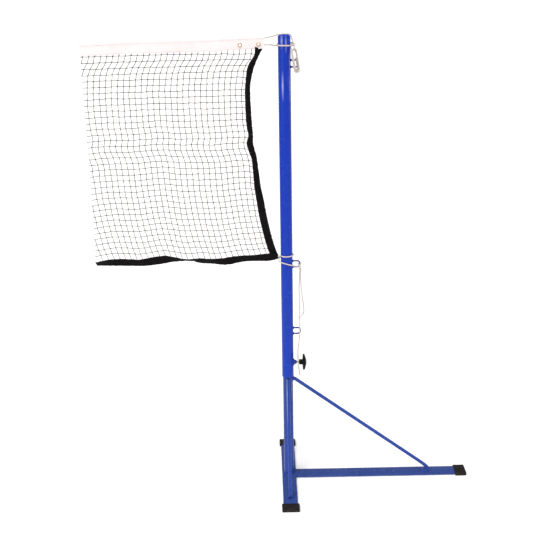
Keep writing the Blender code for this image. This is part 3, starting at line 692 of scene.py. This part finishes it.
def clamp_knob():
    """Moulded knob: a hub and a fluted head with a shallow dished face."""
    hub_start, hub_end, end = HUB_LOW.x, 0.0511, KNOB_HIGH.x
    rim, lobes = 0.0262, 6

    def flutes(radius, along, turn):
        share = min(max((radius - 0.012) / (rim - 0.012), 0.0), 1.0)
        if along < hub_end - 0.0001:
            share = 0.0
            radius -= 0.00025 * (0.5 - 0.5 * cos(turn * 24)) if radius > 0.0088 else 0.0
        wave = cos(lobes * turn)
        return radius + 0.0018 * share * (wave if wave > 0 else wave * 1.1)

    profile = [(hub_end - 0.0010, 0.0043), (hub_start + 0.0006, 0.0043), (hub_start, 0.0049),
               (hub_start, 0.0086), (hub_start + 0.0004, 0.0091), (hub_start + 0.0012, 0.0094),
               (hub_end - 0.0016, 0.0094), (hub_end - 0.0004, 0.0100), (hub_end, 0.0118),
               (hub_end + 0.0002, 0.0190)]
    profile += [(hub_end + on, rim - inward) for on, inward in (
        (0.0004, 0.0036), (0.0008, 0.0018), (0.0018, 0.0005), (0.0034, 0.0), (0.0052, 0.0002),
        (0.0068, 0.0012), (0.0080, 0.0030), (0.0094, 0.0065), (0.0108, 0.0115))]
    profile += [(end - 0.0008, 0.0105), (end - 0.0006, 0.0092), (end, 0.0084), (end, 0.0076),
                (end - 0.0006, 0.0068), (end - 0.0009, 0.0040), (end - 0.0010, 0.0004)]
    bm = turned(bmesh.new(), profile, 144, "X", (0, 0, CLAMP_Z), radius_of=flutes)
    piece("clamp_knob_moulding", bm, "plastic_black", KNOB, ["clamp_knob"], sharp=40)


def keep_with_finish(name, slot):
    """A CAD node whose own shape stays, with its finish."""
    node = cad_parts[name]
    node.data.materials.clear()
    node.data.materials.append(MATERIALS[slot])
    node.data.shade_smooth()
    node.data.set_sharp_from_angle(angle=radians(30))


# ---- cords ----
def braid(distance, turn):
    """Relief of a round braid: crossing strands raise small diamonds."""
    lay = distance * 2 * pi / 0.0062
    return 0.985 + 0.075 * abs(sin(2 * turn + lay)) * abs(sin(2 * turn - lay))


def cord(name, points):
    """A limp braided cord along the points."""
    line = smooth(points, 0.0011)
    bm = swept(bmesh.new(), line, CORD_RADIUS, 16, braid)
    made = piece(name + "_braid", bm, "cord", MAST, [name], sharp=None)


def around_post(start, end, z_start, z_end, radius, steps):
    """Points of a turn about the post, angles in degrees from +X towards +Y."""
    points = []
    for i in range(steps + 1):
        t = i / steps
        turn = radians(start + (end - start) * t)
        points.append((radius * cos(turn), radius * sin(turn), z_start + (z_end - z_start) * t))
    return points


def waist_cord_route():
    lead = [(-0.0620, 0.0000, 1.5278), (-0.0440, 0.0055, 1.5274), (-0.0270, 0.0130, 1.5238)]
    first = around_post(112, -90, 1.5236, 1.5270, CORD_LAY, 7)
    last = around_post(-120, -335, 1.5270, 1.5318, CORD_LAY, 7)
    return lead + first + last + [(0.0252, 0.0042, 1.5314), (0.0263, -0.0008, 1.5304)]


def bottom_cord_route():
    lead = [(-0.0282, -0.0036, 0.8345)]
    front = around_post(-160, -20, 0.8394, 0.8400, CORD_LAY, 5)
    behind = around_post(10, 178, 0.8400, 0.8315, CORD_LAY, 5)
    back = [(-0.0262, -0.0062, 0.8272), (-0.0258, -0.0108, 0.8225), (-0.0205, -0.0145, 0.8187),
            (-0.0114, -0.0198, 0.8168), (-0.0013, -0.0226, 0.8142), (0.0089, -0.0208, 0.8106),
            (0.0192, -0.0150, 0.8060), (0.0295, -0.0108, 0.8030), (0.0386, -0.0088, 0.8019)]
    return lead + front + behind + back


def hank_route(loops=3):
    """Spare cord folded in long loops, each turned about the hank's middle and shorter than the last."""
    along = (HANK_TOP - HANK_BOTTOM).normalized()
    side = Vector((along.z, 0, -along.x))
    out = along.cross(side)
    fold = 0.0084
    route = []
    for part in range(24 * loops - 7):
        share, turn = part / 24 % 1, radians(-12 + 32 * part / 24)
        inset = along * 0.0044 * part / 24
        across = side * cos(turn) + out * sin(turn)
        top, low = HANK_TOP - inset, HANK_BOTTOM + inset
        angle = pi * (share % 0.25) / 0.25
        if share < 0.25:
            spot = top.lerp(low, share / 0.25) - across * fold
        elif share < 0.5:
            spot = low - across * fold * cos(angle) - along * fold * sin(angle)
        elif share < 0.75:
            spot = low.lerp(top, (share - 0.5) / 0.25) + across * fold
        else:
            spot = top + across * fold * cos(angle) + along * fold * sin(angle)
        route.append(tuple(spot))
    return route


def knot(bm, centre, size, tilt, radius=CORD_RADIUS * 0.92):
    """Adds a tied knot: a trefoil pulled tight."""
    turned_by = Matrix.Rotation(tilt[0], 3, "X") @ Matrix.Rotation(tilt[1], 3, "Z")
    line = []
    for i in range(97):
        t = 2 * pi * i / 96
        spot = Vector((sin(t) + 2 * sin(2 * t), cos(t) - 2 * cos(2 * t), -1.4 * sin(3 * t))) / 3
        line.append(Vector(centre) + turned_by @ (spot * size))
    swept(bm, respaced(line, 0.0009), radius, 14, braid)


def cords():
    bm = bmesh.new()
    knot(bm, TOP_KNOT, 0.0042, (radians(70), 0.4), CORD_RADIUS)
    bow = TOP_KNOT + Vector((-0.0022, -0.0052, -0.0075))
    loop = [bow + Vector((0.0048 * cos(t) + 0.0012 * sin(t), 0.0010 * cos(2 * t), 0.0078 * sin(t)))
            for t in [2 * pi * i / 24 + 1.2 for i in range(25)]]
    swept(bm, respaced(loop, 0.001), CORD_RADIUS * 0.95, 14, braid)
    top_knot = piece("head_cord_knot", bm, "cord", MAST, ["top_knot"], sharp=None)
    bm = bmesh.new()
    knot(bm, RING_KNOT + Vector((0, -0.0012, 0)), 0.0032, (radians(80), 1.1))
    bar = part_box("cord_ring_middle")[1].x - RING_WIRE_RADIUS
    wrap = [(bar + 0.0046 * cos(t), 0.0046 * sin(t), RING_KNOT.z + 0.0066 - 0.0042 * (t + pi / 2) / (2 * pi))
            for t in [pi * (i / 12 - 0.5) for i in range(25)]]
    swept(bm, smooth(wrap, 0.001), CORD_RADIUS, 16, braid)
    swept(bm, smooth([(0.0412, -0.0078, 0.8040), (0.0392, -0.0070, 0.8085), (0.0372, -0.0066, 0.8130)], 0.001),
          CORD_RADIUS, 16, braid)
    ring_knot = piece("ring_cord_knot", bm, "cord", MAST, ["ring_knot"], sharp=None)

    cord("top_cord", TOP_CORD)
    cord("waist_cord", waist_cord_route())
    cord("top_hank", hank_route())
    cord("bottom_cord", bottom_cord_route())
    cord("tail_long", LONG_TAIL)
    cord("tail_short", SHORT_TAIL)


# ---- net ----
HEAD_LINE = [(p.x, p.y) for p in smooth([(x, z, 0) for x, z in HEAD_EDGE], 0.01)]


def head_top(x):
    return value_at(HEAD_LINE, x)


def tape_line(stations, width, lean=0.0):
    """Middle line of a black tape as (point, turn): the narrower it shows, the more it is turned."""
    scale = 0.02  # the turn is smoothed along with the line, as a third coordinate
    spots = []
    for *spot, shown in stations:
        turn = acos(min(shown / width * cos(lean), 1.0)) - lean
        spots.append((*spot, scale * turn))
    return [(Vector((p.x, 0, p.y)), p.z / scale) for p in smooth(spots, 0.0025)]


SIDE_LINE = tape_line([((a + b) / 2, z, a - b) for z, a, b in SIDE_TAPE], SIDE_WIDTH)
BOTTOM_LINE = tape_line([(x, (a + b) / 2, a - b) for x, a, b in BOTTOM_TAPE], BOTTOM_WIDTH, BOTTOM_LEAN)


def side_edge(p, turn):
    """The side tape's edge next to the netting."""
    return p + Vector((-cos(turn), -sin(turn), 0)) * SIDE_WIDTH / 2


def bottom_edge(p, turn):
    """The bottom tape's upper edge."""
    return p + Vector((0, -sin(turn), cos(turn))) * BOTTOM_WIDTH / 2


SIDE_INNER = [side_edge(p, turn) for p, turn in SIDE_LINE]
BOTTOM_UPPER = [bottom_edge(p, turn) for p, turn in BOTTOM_LINE]


def strip(bm, rows):
    """Adds a closed band from cross-sections, each a list of (point, uv)."""
    loops = [[bm.verts.new(p) for p, _ in row] for row in rows]
    skin(bm, loops, lambda i, k: rows[i][k % len(rows[i])][1], ends=True)


def head_sway(x, share):
    """How far the head tape swings along Y, more at its lower edge."""
    return (0.0010 * sin(x * 34 + 0.6) + 0.0006 * sin(x * 71)) * (0.25 + 0.75 * share)


def head_section(x, travelled):
    """The folded tape's cross-section: a cord bead along the top, two layers sewn below it."""
    top = head_top(x)
    ripple = 0.0007 * noise.noise(Vector((x * 22, 0, 3.1)))
    half = []
    for share, thick in ((0.0, 0.0004), (0.012, 0.0013), (0.035, 0.0021), (0.07, 0.0025), (0.11, 0.0023),
                         (0.15, 0.0015), (0.19, 0.0010), (0.26, 0.0009), (0.42, 0.0010), (0.58, 0.0010),
                         (0.76, 0.0009), (0.88, 0.0008), (0.93, 0.0010), (0.975, 0.0009), (0.995, 0.0005)):
        puff = thick * (1.0 + 0.10 * noise.noise(Vector((x * 60, share * 4, 0.0))))
        half.append((share, puff))
    section = []
    for side, order in ((-1, half), (1, half[::-1])):
        for share, thick in order:
            z = top - HEAD_WIDTH * share + ripple * share
            y = side * thick + head_sway(x, share)
            across = share * HEAD_WIDTH if side < 0 else (2 - share) * HEAD_WIDTH
            section.append((Vector((x, y, z)), (travelled, across)))
    return section


def head_tape():
    start = HEAD_LINE[0][0]
    run = start - NET_END
    steps = round(run / 0.004)
    bm = bmesh.new()
    strip(bm, [head_section(start - run * i / steps, run * i / steps) for i in range(steps + 1)])
    tape = piece("head_tape_band", bm, "tape_white", MAST, ["head_tape"], sharp=60)
    for x, z in EYELETS.values():
        punch(tape, x, z, 0.0047)
    bm = bmesh.new()
    inset, stitch = 0.003, 0.0035
    spots = [start - inset - i * stitch for i in range(int((run - 2 * inset) / stitch))]
    for share in (0.175, 0.90):
        sew(bm, [(x, head_top(x) - HEAD_WIDTH * share) for x in spots], share)
    seam = piece("head_tape_stitches", bm, "tape_white", MAST, material=THREAD, sharp=None)
    return tape, seam


def punch(obj, x, z, radius):
    """Cuts a round hole along Y through a piece."""
    bm = turned(bmesh.new(), [(-0.02, radius), (0.02, radius)], 40, "Y", (x, 0, z))
    bmesh.ops.recalc_face_normals(bm, faces=bm.faces)
    tool = placed("punch", mesh_of("punch", bm))
    mod = obj.modifiers.new("punch", "BOOLEAN")
    mod.object = tool
    bpy.context.view_layer.update()
    cut = bpy.data.meshes.new_from_object(obj.evaluated_get(bpy.context.evaluated_depsgraph_get()))
    obj.modifiers.clear()
    obj.data = cut
    bpy.data.objects.remove(tool)


def sew(bm, spots, share):
    """Adds a row of stitches on both faces of the head tape."""
    for x, z in spots:
        if any(sqrt((x - ex) ** 2 + (z - ez) ** 2) < 0.0078 for ex, ez in EYELETS.values()):
            continue
        for side in (-1, 1):
            y = head_sway(x, share) + side * 0.00115
            sunk = y - side * 0.0004
            thread = ((-0.0013, sunk), (-0.0008, y), (0.0008, y), (0.0013, sunk))
            swept(bm, [(x + step, lift, z) for step, lift in thread], 0.00028, 6)


def eyelet(name):
    """Rolled brass grommet with a rounded flange on each face."""
    x, z = EYELETS[name]
    hole, rim, face = 0.0040, 0.0063, 0.0017
    profile = []
    for side in (-1, 1):
        part = [(side * (face + proud), radius) for proud, radius in (
            (0.0001, 0.0045), (0.0001, rim - 0.0003), (0.0004, rim), (0.0008, rim - 0.0005),
            (0.0011, rim - 0.0012), (0.0011, hole + 0.0010), (0.0007, hole + 0.0003), (0.0001, hole))]
        profile += part if side > 0 else part[::-1]
    bm = turned(bmesh.new(), profile, 48, "Y", (x, 0, z), closed=True)
    return piece(name + "_brass", bm, "brass", MAST, [name], sharp=50)


# A black tape's cross-section, from its middle: (place across it, 0 to 1, and share of its thickness).
TAPE_HALF = [(0.4, 0.95), (0.78, 0.80), (0.90, 1.05), (0.97, 0.85), (1.0, 0.35)]
TAPE_SECTION = [(-share, thick) for share, thick in TAPE_HALF[::-1]] + [(0.0, 1.0)] + TAPE_HALF


def black_tape(name, line, width, spread, seed):
    """A folded tape sewn over the netting's edge: two layers, puckered edges, a seam each side."""
    rows, travelled = [], 0.0
    for i, (p, turn) in enumerate(line):
        before, after = line[max(i - 1, 0)][0], line[min(i + 1, len(line) - 1)][0]
        along = (after - before).normalized()
        flat = along.cross(Vector((0, 1, 0))).normalized()
        if flat.dot(spread) < 0:
            flat = -flat
        travelled += (p - line[i - 1][0]).length if i else 0.0
        across = flat * cos(turn) + Vector((0, 1 if name == "side_tape" else -1, 0)) * sin(turn)
        normal = along.cross(across).normalized()
        half = []
        for share, thick in TAPE_SECTION:
            pucker = 0.0011 * noise.noise(Vector((travelled * 85, share * 1.2, seed)))
            ruffle = 0.0009 * abs(share) ** 3 * noise.noise(Vector((travelled * 130, share * 3, seed + 7)))
            outward = width / 2 * share + ruffle * (1 if share > 0 else -1)
            spot = p + across * outward + normal * pucker * (0.3 + abs(share))
            half.append((spot, thick * TAPE_THICK / 2, share))
        row = [(s - normal * t, (travelled, width / 2 * c)) for s, t, c in half]
        row += [(s + normal * t, (travelled, width / 2 * (2.2 - c))) for s, t, c in half[::-1]]
        rows.append(row)
    bm = bmesh.new()
    strip(bm, rows)
    tape = piece(name + "_webbing", bm, "tape_black", MAST, [name], sharp=60)
    bm = bmesh.new()
    for i in range(1, len(rows) - 2, 2):
        for k in (3, 7, 14, 18):
            a, b = rows[i][k][0], rows[i + 1][k][0]
            out = (rows[i][k][0] - rows[i][21 - k][0]).normalized() * 0.00022
            swept(bm, [a - out, a.lerp(b, 0.15) + out, a.lerp(b, 0.75) + out, a.lerp(b, 0.9) - out], 0.00026, 6)
    seam = piece(name + "_stitches", bm, "tape_black", MAST, material=DARK_THREAD, sharp=None)
    return tape, seam


def beside(share):
    """The side tape's inner edge at a share of the netting's height, from its first row down."""
    height = ROW_TOP + (ROW_BOTTOM - ROW_TOP) * share
    return value_at(SIDE_INNER, height, 2, 0), value_at(SIDE_INNER, height, 2, 1)


def net_point(row, column, rng):
    """Where the twines of a row and a column cross. Row -1 is at the head tape, ROWS at the bottom."""
    share = row / ROWS
    edge_x, edge_y = beside(share)
    x = edge_x - (column + 0.55) * CELL - 0.00001 * column**2
    top, bottom = value_at(ROW_EDGE, x), value_at(BOTTOM_UPPER, x, 0, 2)
    z = top + (bottom - top) * share if row >= 0 else head_top(x) - HEAD_WIDTH + 0.0006
    if row >= 0:
        z -= 0.0062 * 0.55**row * min(max((x + 0.36) / 0.22, 0.0), 1.0)
    from_side = max(0.0, 1.0 - (column + 0.5) / 5) ** 2
    from_bottom = max(0.0, 1.0 - (1 - share) / 0.30) ** 2
    y = edge_y * from_side + value_at(BOTTOM_UPPER, x, 0, 1) * from_bottom
    y += 0.0035 * sin(x * 11 + 1.0) * sin(share * pi) + 0.0015 * sin(x * 23 + share * 9)
    point = Vector((x, y, z))
    if 0 <= row < ROWS:
        point += Vector((rng.uniform(-1, 1) * 0.0009, rng.uniform(-1, 1) * 0.0006, rng.uniform(-1, 1) * 0.0009))
    return point


def net_grid():
    rng = Random(11)
    columns = int((SIDE_INNER[0].x - NET_END + 0.05) / CELL) + 2
    return [[net_point(row, column, rng) for column in range(columns)] for row in range(-1, ROWS + 1)]


def twine(bm, points, rng, slack=0.0007):
    """Adds one twine through its knots, each mesh side bowed a little."""
    line = []
    for a, b in zip(points, points[1:]):
        bow = Vector((rng.uniform(-1, 1), rng.uniform(-1, 1), -abs(rng.uniform(0, 1)))) * slack
        line += [a, a.lerp(b, 0.33) + bow, a.lerp(b, 0.67) + bow]
    line.append(points[-1])
    swept(bm, line, TWINE_RADIUS, 6)


def netting():
    grid = net_grid()
    rng = Random(5)
    limit = NET_END + 0.0015
    bm = bmesh.new()
    for row in range(1, ROWS + 1):
        kept = [p for p in grid[row] if p.x > limit]
        edge = Vector((*beside((row - 1) / ROWS), kept[0].z))
        hem = edge + Vector((0.0035, 0, 0.0004))
        dip = edge + Vector((-0.0035, -0.0012, -0.0024 * rng.uniform(0.2, 1.0)))
        last = kept[-1].lerp(grid[row][len(kept)], (kept[-1].x - limit) / CELL)
        twine(bm, [hem, dip] + kept + [last], rng)
    for column in range(len(grid[0])):
        run = []
        for row in range(ROWS + 2):
            p = grid[row][column]
            if p.x > limit:
                run.append(p)
            if (p.x <= limit or row == ROWS + 1) and len(run) > 1:
                twine(bm, run, rng)
            if p.x <= limit:
                run = []
    strings = piece("netting_twine", bm, "twine", MAST, ["net_mesh"], sharp=None)
    bm = bmesh.new()
    for row in range(1, ROWS + 1):
        for p in grid[row]:
            if p.x > limit:
                net_knot(bm, p, rng)
    knots = piece("netting_knots", bm, "twine", MAST, sharp=None)
    return strings, knots


def net_knot(bm, centre, rng):
    """Adds a pulled knot: a lumpy bead, longer along one diagonal."""
    made = bmesh.ops.create_icosphere(bm, subdivisions=2, radius=NET_KNOT_RADIUS)["verts"]
    lean = Matrix.Rotation(radians(45 + rng.uniform(-20, 20)), 3, "Y")
    seed = rng.uniform(0, 90)
    for v in made:
        lump = 1.0 + 0.25 * noise.noise(v.co * 900 + Vector((seed, 0, 0)))
        v.co = Vector(centre) + lean @ Vector((v.co.x * 1.25, v.co.y * 0.8, v.co.z * 0.9)) * lump


# ---- stage, light and camera ----
def stage():
    bm = bmesh.new()
    bmesh.ops.create_circle(bm, cap_ends=True, segments=96, radius=60.0)
    mesh = mesh_of("floor", bm)
    f = Finish("studio_floor", 1.0)
    f.colour(linear(252, 251, 250))
    f.shine(0.0)
    f.shader.inputs["Emission Color"].default_value = (1, 1, 1, 1)
    f.shader.inputs["Emission Strength"].default_value = 0.13
    mesh.materials.append(f.material)
    placed("floor", mesh)


def lamp(name, kind, aim, **settings):
    data = bpy.data.lights.new(name, kind)
    for key, value in settings.items():
        setattr(data, key, value)
    made = placed(name, data)
    made.rotation_euler = aim.to_track_quat("-Z", "Y").to_euler()
    return made


def lights():
    """A dim tent, white along its horizon, two broad suns and two lamps beside the post's top."""
    world = bpy.data.worlds.new("studio")
    bpy.context.scene.world = world
    world.use_nodes = True
    tree = world.node_tree
    kinds = ("TexCoord", "SeparateXYZ", "MapRange")
    place, split, fade = (tree.nodes.new("ShaderNode" + kind) for kind in kinds)
    fade.interpolation_type = "SMOOTHSTEP"
    for socket, value in (("From Min", 0.06), ("From Max", 0.34), ("To Min", 1.0), ("To Max", 0.36)):
        fade.inputs[socket].default_value = value
    sky = tree.nodes["Background"].inputs
    sky["Color"].default_value = (1, 1, 1, 1)
    for source, socket in ((place.outputs["Generated"], split.inputs[0]),
                           (split.outputs[2], fade.inputs["Value"]), (fade.outputs[0], sky["Strength"])):
        tree.links.new(source, socket)
    for name, aim, power, spread in (("key", (0.55, 1.0, -1.75), 2.5, 42),
                                     ("fill", (-0.9, 0.4, -0.8), 0.35, 30)):
        lamp(name, "SUN", Vector(aim), energy=power, angle=radians(spread))
    for name, spot, width, power in (("strip_left", (-1.38, -1.46, 1.17), 0.22, 2.2),
                                     ("strip_right", (2.0, 0.24, 1.17), 0.18, 2.0)):
        made = lamp(name, "AREA", Vector((0, 0, 1.45)) - Vector(spot), shape="RECTANGLE", size=width,
                    size_y=0.34, energy=power)
        made.location = spot


def camera():
    data = bpy.data.cameras.new("camera")
    data.lens = CAMERA_LENS
    data.sensor_width = 36.0
    obj = placed("camera", data)
    aim = Matrix.Rotation(-CAMERA_YAW, 4, "Z") @ Matrix.Rotation(pi / 2 - CAMERA_DOWN, 4, "X")
    obj.matrix_world = Matrix.Translation(CAMERA_PLACE) @ aim @ Matrix.Rotation(CAMERA_ROLL, 4, "Z")
    bpy.context.scene.camera = obj


camera()
cords()

round_tube("lower_post", LOWER_RADIUS, LOWER_WALL, LOWER_LOW.z, LOWER_HIGH.z, "paint_lower", BASE)
flat_bars()
base_welds()
foot_cap("foot_cap_leg", 0.0)
foot_cap("foot_cap_rear", pi / 2)
foot_cap("foot_cap_front", -pi / 2)
brace("brace_leg", 0.0, LEG_BRACE_FOOT, steep=False)
brace("brace_rear", pi / 2, CROSS_BRACE_FOOT, steep=True)
brace("brace_front", -pi / 2, CROSS_BRACE_FOOT, steep=True)
keep_with_finish("guide_bush", "nylon")

round_tube("upper_post", UPPER_RADIUS, UPPER_WALL, UPPER_LOW.z, UPPER_HIGH.z, "paint_upper", MAST)
post_cap()
for ring_name in ("cord_ring_top", "cord_ring_middle", "cord_ring_bottom"):
    cord_ring(ring_name)
clamp_nut()
keep_with_finish("clamp_pad", "plastic_black")
clamp_stud()
clamp_knob()

head, head_seam = head_tape()
grommets = [eyelet(name) for name in EYELETS]
side, side_seam = black_tape("side_tape", SIDE_LINE, SIDE_WIDTH, Vector((1, 0, 0)), 2.0)
bottom, bottom_seam = black_tape("bottom_tape", BOTTOM_LINE, BOTTOM_WIDTH, Vector((0, 0, 1)), 5.0)
strings, knots = netting()

stage()
lights()
bpy.context.scene.view_settings.view_transform = "Standard"
